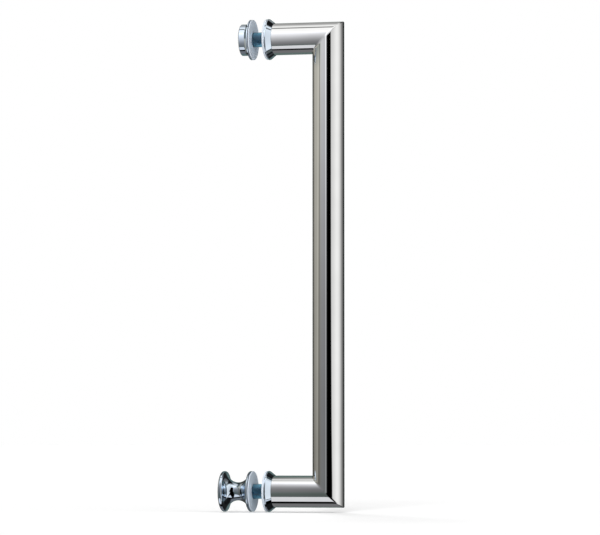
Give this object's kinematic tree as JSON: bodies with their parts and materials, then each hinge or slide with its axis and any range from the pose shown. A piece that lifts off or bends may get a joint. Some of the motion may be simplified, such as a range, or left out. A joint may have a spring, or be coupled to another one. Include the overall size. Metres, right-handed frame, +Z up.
{
  "type": "shower door handle",
  "caption": "Mitred tubular pull for a glass shower door, clamped through the glass by sleeved studs with clear gaskets, a flanged cap and a waisted knob on the inner side.",
  "frame": {"origin": "on the outer face of the glass, midway between the two stud axes", "axes": "+X out of the door towards the grip, -X through the glass to the cap and knob, +Z up along the grip from the knob's post to the cap's post, Y along the glass"},
  "size_m": [0.0748, 0.0244, 0.2944],
  "materials": {
    "tube_chrome": "polished",
    "fitting_chrome": "polished",
    "insert_brass": "machined",
    "stud_steel": "machined thread",
    "gasket_clear": "clear, faintly blue",
    "sleeve_clear": "clear, blue"
  },
  "bodies": {
    "root": {"handle_tube": "tube_chrome", "cap": "fitting_chrome", "knob": "fitting_chrome", "upper_collar": "fitting_chrome", "lower_collar": "fitting_chrome", "upper_insert": "insert_brass", "lower_insert": "insert_brass", "upper_stud": "stud_steel", "lower_stud": "stud_steel", "upper_front_gasket": "gasket_clear", "lower_front_gasket": "gasket_clear", "upper_back_gasket": "gasket_clear", "lower_back_gasket": "gasket_clear", "upper_sleeve": "sleeve_clear", "lower_sleeve": "sleeve_clear"}
  },
  "joints": []
}
